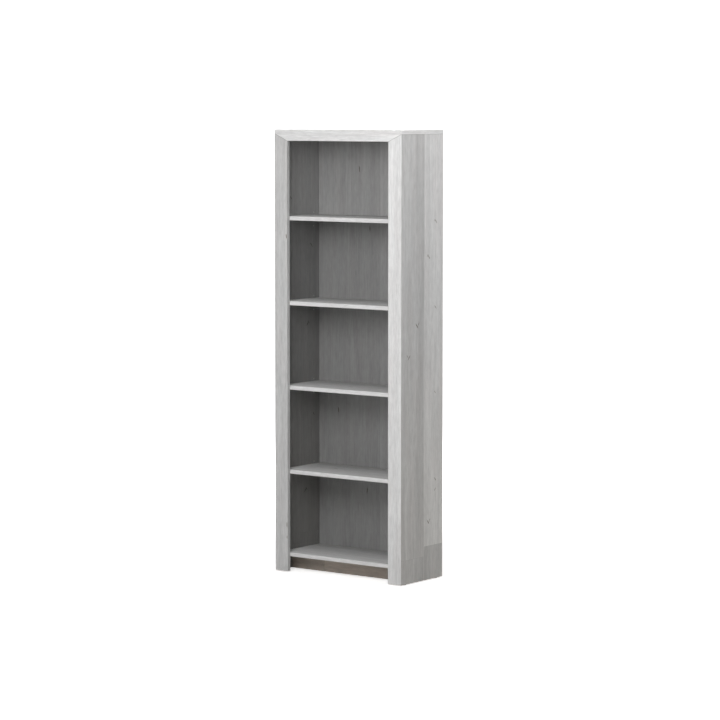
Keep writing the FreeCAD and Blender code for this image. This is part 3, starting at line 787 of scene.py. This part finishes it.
def pin_points(sizes, reach, rise, length):
    """A shelf pin along +Z, with its top towards +X.

    Each section is a superellipse: width times cos to the power 2/n, and height times sin to the same
    power. Along the pin the half sizes, the middle's height and n run through a short table: a round
    stem with a chamfered tip, a round collar, and a flat tongue whose underside rises to its tip."""
    stem, rim, tip = sizes.pin_stem, sizes.pin_rim, sizes.pin_tongue
    top = rise - 0.00002
    half = 0.004  # the tongue's half width

    def tongue(z, width, under):
        return (z, width, (top - under) / 2, (top + under) / 2, 6.0)

    def disc(z, radius):
        return (z, radius, radius, 0.0, 2.0)

    end = COLLAR + length
    run = [disc(-reach, 0.0), disc(-reach, stem * 0.72), disc(-reach + 0.0006, stem), disc(-0.00001, stem)]
    run += [disc(0.0, rim - 0.0003), disc(0.0003, rim)]
    run += [disc(COLLAR - 0.0002, rim), disc(COLLAR, rim - 0.0002)]
    for share in np.linspace(0, 1, 12):
        z = COLLAR + 0.0001 + share * (length - 0.0001)
        left = min(1.0, (end - z) / half)
        width = half * math.sqrt(max(0.0, 1 - (1 - left) ** 2))
        under = -rim * 0.7 + (top - tip + rim * 0.7) * min(1.0, share * 1.5) ** 0.8
        run.append(tongue(z, max(width, 0.0006), under))
    run.append(tongue(end, 0.0, top - tip / 2))
    z, width, height, middle, power = (np.array(v)[:, None] for v in zip(*run))
    angle = np.linspace(0, 2 * np.pi, sizes.segments, endpoint=False)[None, :]
    cos, sin = np.cos(angle), np.sin(angle)
    # +X is up and +Y is across, so a section turns from up to across
    up = middle + height * np.sign(cos) * np.abs(cos) ** (2 / power)
    side = width * np.sign(sin) * np.abs(sin) ** (2 / power)
    grid = np.stack([up, side, np.broadcast_to(z, up.shape)], -1)
    first, last = grid[0].mean(0), grid[-1].mean(0)
    points = np.vstack([first, grid[1:-1].reshape(-1, 3), last])
    return points, grid_faces(len(run) - 2, sizes.segments)


def pin_in_side(sizes, box, sign, under):
    """A pin set in its hole, from its node's box, the side it is in and the height of its shelf."""
    low, high = box
    near, far = sorted((abs(low.x), abs(high.x)))
    axis_z = low.z + sizes.pin_rim
    points, faces = pin_points(sizes, far - INNER_X, under - axis_z, INNER_X - near - COLLAR)
    origin = (sign * INNER_X, (low.y + high.y) / 2, axis_z)
    return turned(points, origin, (0, 0, 1), (-sign, 0, 0)), faces


def screw_points(sizes, length, head_radius, head_height):
    """A pan head screw along +Z with its head at the top, above z = 0.

    The shank's radius is its core plus a ridge that climbs one pitch in each turn. The head's top is
    a dome, pressed down where it lies in the driver cross."""
    segments = sizes.segments
    angle = np.linspace(0, 2 * np.pi, segments, endpoint=False)[None, :]
    z = np.linspace(-length, -0.0002, 90)[:, None]
    turn = (z / sizes.screw_pitch - angle / (2 * np.pi)) % 1.0
    ridge = np.clip(1 - np.abs(turn - 0.5) * 5, 0, 1)
    taper = np.clip((z + length) / 0.003, 0.05, 1)
    shank = (sizes.screw_core + (sizes.screw_crest - sizes.screw_core) * ridge) * taper
    head = [(head_radius, 0.0), (head_radius, head_height * 0.55), (head_radius * 0.93, head_height * 0.82),
            (head_radius * 0.78, head_height * 0.97), (head_radius * 0.66, head_height)]
    rows_r = np.vstack([shank, *(np.full((1, segments), r) for r, _ in head)])
    rows_z = np.vstack([np.broadcast_to(z, shank.shape), *(np.full((1, segments), h) for _, h in head)])
    inner = np.linspace(head_radius * 0.62, head_radius * 0.04, 14)[:, None]
    x, y = inner * np.cos(angle), inner * np.sin(angle)
    arm = np.minimum(np.abs(x), np.abs(y))
    deep = np.clip((0.00062 - arm) / 0.0003, 0, 1) * np.clip((0.00205 - inner) / 0.0004, 0, 1)
    rows_r = np.vstack([rows_r, np.broadcast_to(inner, x.shape)])
    rows_z = np.vstack([rows_z, head_height - DRIVER_DEPTH * deep])
    grid = np.stack([rows_r * np.cos(angle), rows_r * np.sin(angle), rows_z], -1)
    points = np.vstack([[0, 0, -length - SCREW_TIP], grid.reshape(-1, 3), [0, 0, head_height - DRIVER_DEPTH]])
    return points, grid_faces(len(grid), segments)


class Piece(bpy.types.Operator):
    """Base of the operators below."""

    bl_options = {"REGISTER", "UNDO"}


class BOOKCASE_OT_sides(Piece):
    """Prints the two sides: planks, knots, inner faces and raw rear edges"""

    bl_idname = "bookcase.sides"
    bl_label = "Sides"

    def execute(self, context):
        for side, sign in SIDES:
            decor = side_decor(sign, context.scene.bookcase_oak)
            print_oak(context, [f"side_panel_{side}"], f"side_oak_{side}", decor)
        return {"FINISHED"}


class BOOKCASE_OT_front(Piece):
    """Prints the stiles, the rail and the top"""

    bl_idname = "bookcase.front"
    bl_label = "Front frame and top"

    def execute(self, context):
        oak = context.scene.bookcase_oak
        for side, sign in SIDES:
            print_oak(context, [f"stile_{side}"], f"stile_oak_{side}", stile_decor(sign, oak))
        print_oak(context, ["top_rail"], "rail_oak", rail_decor(oak))
        print_oak(context, ["top_panel"], "top_oak", top_decor(oak))
        return {"FINISHED"}


class BOOKCASE_OT_shelves(Piece):
    """Prints the four shelves and the bottom"""

    bl_idname = "bookcase.shelves"
    bl_label = "Shelves and bottom"

    def execute(self, context):
        oak = context.scene.bookcase_oak
        for number in SHELVES:
            print_oak(context, [f"shelf_{number}"], f"shelf_oak_{number}", shelf_decor(number, oak))
        print_oak(context, ["bottom_panel"], "bottom_oak", bottom_decor(oak))
        return {"FINISHED"}


class BOOKCASE_OT_back(Piece):
    """Prints the back's front, and shows hardboard on its rear"""

    bl_idname = "bookcase.back"
    bl_label = "Back"

    def execute(self, context):
        dress(["back_panel"], hardboard_and_print(*settings(context)))
        return {"FINISHED"}


class BOOKCASE_OT_plinth(Piece):
    """Prints the plinth in brown oak with a butt joint"""

    bl_idname = "bookcase.plinth"
    bl_label = "Plinth"

    def execute(self, context):
        brown = context.scene.bookcase_oak.plinth
        pale, dark = [c * 1.12 for c in brown], [c * 0.72 for c in brown]
        print_oak(context, ["plinth"], "plinth_oak", plinth_decor(), pale, dark)
        return {"FINISHED"}


class BOOKCASE_OT_bands(Piece):
    """Gives the edge bands their pale straight grain"""

    bl_idname = "bookcase.bands"
    bl_label = "Edge bands"

    def execute(self, context):
        oak = context.scene.bookcase_oak
        level = [f"shelf_{n}_edge_band" for n in SHELVES] + ["bottom_edge_band", "rail_edge_band"]
        upright = [f"stile_edge_band_{side}" for side, _ in SIDES]
        ends = [f"top_end_band_{side}" for side, _ in SIDES]
        print_oak(context, level, "band_oak_level", band_decor(X, 171.0, oak.band_tone))
        # The stiles' inner edges are printed darker than the level bands as painted shade.
        print_oak(context, upright, "band_oak_upright", band_decor(Z, 181.0, oak.return_shade_tone))
        print_oak(context, ends, "band_oak_ends", band_decor(Y, 191.0, oak.side_tone * 1.30))
        return {"FINISHED"}


class BOOKCASE_OT_pins(Piece):
    """Models the sixteen shelf pins"""

    bl_idname = "bookcase.pins"
    bl_label = "Shelf pins"

    def execute(self, context):
        nickel, sizes = nickel_and_sizes(context)
        for number in SHELVES:
            for side, sign in SIDES:
                for row in ROWS:
                    node = f"shelf_{number}_pin_{side}_{row}"
                    points, faces = pin_in_side(sizes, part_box(node), sign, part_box(f"shelf_{number}")[0].z)
                    name = f"pin_{number}_{side}_{row}"
                    add_piece(name, points, faces, nickel, node + "_body", node)
        return {"FINISHED"}


class BOOKCASE_OT_screws(Piece):
    """Models the bracket screws with their threads and driver crosses"""

    bl_idname = "bookcase.screws"
    bl_label = "Bracket screws"

    def execute(self, context):
        nickel, sizes = nickel_and_sizes(context)

        def screw(low, high):
            size = high - low
            long_axis = int(np.argmax(size))
            axis = np.zeros(3)
            # Upright screws have their heads below, and the level ones behind
            axis[long_axis] = -1.0 if long_axis == Z else 1.0
            origin = (low + high) / 2 + axis * (size[long_axis] / 2 - SCREW_HEAD)
            length = size[long_axis] - SCREW_HEAD - SCREW_TIP
            points, faces = screw_points(sizes, length, np.delete(size, long_axis).max() / 2, SCREW_HEAD)
            return turned(points, origin, (1, 0, 0), axis), faces

        for node in ("wall_bracket_screws", "plinth_bracket_screws"):
            add_for_islands(f"{node}_turned", node, nickel, screw)
        return {"FINISHED"}


class BOOKCASE_OT_nails(Piece):
    """Models the nails of the back, with low domed heads"""

    bl_idname = "bookcase.nails"
    bl_label = "Back nails"

    def execute(self, context):
        nickel, sizes = nickel_and_sizes(context)
        r, dome = sizes.nail_radius, NAIL_DOME

        def nail(low, high):
            middle = (low + high) / 2
            head, tip = (high[X] - low[X]) / 2, dome - (high[Y] - low[Y])
            profile = [(0, tip), (r * 0.5, tip + r), (r, tip + 3 * r), (r, 0), (head, 0), (head, dome * 0.35),
                       (head * 0.86, dome * 0.7), (head * 0.55, dome * 0.93), (0, dome)]
            points, faces = closed_lathe(profile, sizes.segments)
            return turned(points, (middle[X], high[Y] - dome, middle[Z]), (1, 0, 0), (0, 1, 0)), faces

        add_for_islands("back_nails_domed", "back_nails", nickel, nail)
        return {"FINISHED"}


class BOOKCASE_OT_caps(Piece):
    """Models the dished caps over the cams in the top bay"""

    bl_idname = "bookcase.caps"
    bl_label = "Cam caps"

    def execute(self, context):
        sizes, plastic = context.scene.bookcase_sizes, bpy.data.materials["grey_moulding"]

        def cap(low, high):
            middle = (low + high) / 2
            r, thick = (high[Z] - low[Z]) / 2, high[X] - low[X]
            sign = np.sign(middle[X])
            profile = [(0, 0), (r, 0), (r, thick * 0.45), (r * 0.97, thick * 0.8), (r * 0.91, thick),
                       (r * 0.84, thick * 0.96), (r * 0.6, thick * 0.82), (0, thick * 0.78)]
            points, faces = closed_lathe(profile, sizes.segments)
            origin = (sign * max(abs(low[X]), abs(high[X])), middle[Y], middle[Z])
            return turned(points, origin, (0, 1, 0), (-sign, 0, 0)), faces

        add_for_islands("cam_caps_dished", "cam_caps", plastic, cap)
        return {"FINISHED"}


class BOOKCASE_OT_fittings(Piece):
    """Makes the metal, wood and plastic finishes and gives them to the other fittings"""

    bl_idname = "bookcase.fittings"
    bl_label = "Other fittings"

    def execute(self, context):
        _, looks = settings(context)
        nickel = plain_material("nickel_plate", looks.nickel, 0.30, 0.0006, metallic=1.0, grain=(0.25, 1, 1))
        zinc = plain_material("cast_zinc", looks.zinc, 0.48, 0.0011, metallic=1.0, bump=0.00006)
        beech = plain_material("beech_dowel", looks.beech, 0.62, 0.0007, grain=(1, 1, 0.12), spread=0.25)
        plastic = plain_material("grey_moulding", looks.plastic, 0.45, 0.0005, spread=0.06)
        dress(["cam_bolts", "glide_nails", "wall_bracket", "plinth_brackets"], nickel)
        dress(["cam_housings"], zinc)
        dress(["dowels", "mitre_dowels"], beech)
        dress(["glides"], plastic)
        return {"FINISHED"}


def area_light(name, place, aim, size, power):
    light = bpy.data.lights.new(name, "AREA")
    light.shape, light.size, light.energy = "DISK", size, power
    face_towards(placed(name, light), place, Vector(aim) - Vector(place))


def floor_mesh(radius, rise, segments):
    """Round floor whose rim bends up into a low wall: rings of growing radius, level to the bend, then
    a quarter circle. The middle is a pole. The faces are turned over, so that they look up."""
    bend = np.linspace(0, np.pi / 2, 13)
    run = np.concatenate([np.linspace(0.5, radius, 12), radius + rise * np.sin(bend[1:])])
    height = np.concatenate([np.zeros(12), rise * (1 - np.cos(bend[1:]))])
    angle = np.linspace(0, 2 * np.pi, segments, endpoint=False)
    grid = np.stack([run[:, None] * np.cos(angle), run[:, None] * np.sin(angle),
                     np.broadcast_to(height[:, None], (len(run), segments))], -1)
    points = np.vstack([[0, 0, 0], grid.reshape(-1, 3)])
    return points, [face[::-1] for face in grid_faces(len(run), segments, closed=False)]


def studio_floor(name, height, colour, near, far, reach):
    """Pale floor at a height, with a glow that grows from near to far, up to reach from the case."""
    points, faces = floor_mesh(16.0, 6.0, 96)
    mesh = bpy.data.meshes.new(name)
    mesh.from_pydata(points + np.array([0, 0, height]), [], faces)
    mesh.shade_smooth()
    floor = placed(name, mesh)
    paint = bpy.data.materials.new(name)
    t, shader, place = opened(paint)
    shader.inputs["Base Color"].default_value = opaque(colour)
    shader.inputs["Roughness"].default_value = 0.9
    shader.inputs["Specular IOR Level"].default_value = 0.1
    shader.inputs["Emission Color"].default_value = (1, 1, 1, 1)
    away = t.math("SQRT", t.plus(t.times(place[X], place[X]), t.times(place[Y], place[Y])))
    t.give(shader.inputs["Emission Strength"], t.ease(away, 0.7, reach, near, far))
    mesh.materials.append(paint)
    return floor


class BOOKCASE_OT_stage(Piece):
    """Makes the floor, the soft lights and the camera"""

    bl_idname = "bookcase.stage"
    bl_label = "Stage"

    def execute(self, context):
        scene = context.scene
        studio = scene.bookcase_studio
        # The floor that shows is lit and a little brighter than it would be, and takes no part in
        # lighting. The floor under it gives the light back and doesn't show.
        shown = studio_floor("floor_shown", -0.001, studio.floor, studio.fill, studio.fill * 2, 2.6)
        shown.visible_diffuse = shown.visible_glossy = shown.visible_shadow = False
        bounce = studio_floor("floor_bounce", -0.002, studio.floor, 0.0, studio.glow, 4.5)
        bounce.visible_camera = False

        world = bpy.data.worlds.new("studio_sky")
        world.use_nodes = True
        sky = world.node_tree.nodes["Background"]
        sky.inputs["Color"].default_value = opaque(studio.sky)
        sky.inputs["Strength"].default_value = studio.sky_power
        scene.world = world
        area_light("key", (1.5, -3.0, 4.2), (0.0, 0.0, 1.3), 2.4, studio.key_power)
        area_light("front", (1.3, -3.6, 2.6), (0.0, 0.0, 1.2), 1.8, studio.front_power)
        area_light("side", (1.7, -0.2, 2.9), (0.3, 0.0, 1.8), 0.9, studio.side_power)
        area_light("wing", (4.0, 0.2, 3.4), (0.2, 0.0, 1.2), 2.0, studio.wing_power)
        area_light("rear", (-2.6, 3.6, 3.0), (0.0, 0.0, 1.1), 2.6, studio.rear_power)

        camera = placed("camera", bpy.data.cameras.new("camera"))
        a, e = studio.azimuth, studio.elevation
        back = Vector((math.sin(a) * math.cos(e), -math.cos(a) * math.cos(e), math.sin(e)))
        right = Vector((math.cos(a), math.sin(a), 0))
        aim = (CASE_LOW + CASE_HIGH) / 2 + right * studio.aim_right - back.cross(right) * studio.aim_down
        face_towards(camera, aim + back * studio.distance, -back)
        camera.data.lens = studio.lens
        camera.data.clip_end = 100.0
        scene.camera = camera
        scene.view_settings.view_transform = "Standard"
        return {"FINISHED"}


PIECES = (
    BOOKCASE_OT_sides, BOOKCASE_OT_front, BOOKCASE_OT_shelves, BOOKCASE_OT_back, BOOKCASE_OT_plinth,
    BOOKCASE_OT_bands, BOOKCASE_OT_fittings, BOOKCASE_OT_pins, BOOKCASE_OT_screws, BOOKCASE_OT_nails,
    BOOKCASE_OT_caps, BOOKCASE_OT_stage,
)
GROUPS = (
    ("bookcase_oak", OakLooks), ("bookcase_fittings", FittingLooks),
    ("bookcase_sizes", FittingSizes), ("bookcase_studio", StudioLooks),
)


class BOOKCASE_PT_pieces(bpy.types.Panel):
    """Sidebar list of the pieces and their settings"""

    bl_idname = "BOOKCASE_PT_pieces"
    bl_label = "Bookcase"
    bl_space_type = "VIEW_3D"
    bl_region_type = "UI"
    bl_category = "Bookcase"

    def draw(self, context):
        for operator in PIECES:
            self.layout.operator(operator.bl_idname)
        for name, group in GROUPS:
            box = self.layout.box()
            for prop in group.__annotations__:
                box.prop(getattr(context.scene, name), prop)


def register():
    for name, group in GROUPS:
        bpy.utils.register_class(group)
        setattr(bpy.types.Scene, name, PointerProperty(type=group))
    for operator in PIECES:
        bpy.utils.register_class(operator)
    bpy.utils.register_class(BOOKCASE_PT_pieces)


def unregister():
    bpy.utils.unregister_class(BOOKCASE_PT_pieces)
    for operator in reversed(PIECES):
        bpy.utils.unregister_class(operator)
    for name, group in reversed(GROUPS):
        delattr(bpy.types.Scene, name)
        bpy.utils.unregister_class(group)


def main():
    """Makes every piece in order."""
    register()
    for operator in PIECES:
        family, _, action = operator.bl_idname.partition(".")
        getattr(getattr(bpy.ops, family), action)()


if __name__ == "__main__":
    main()
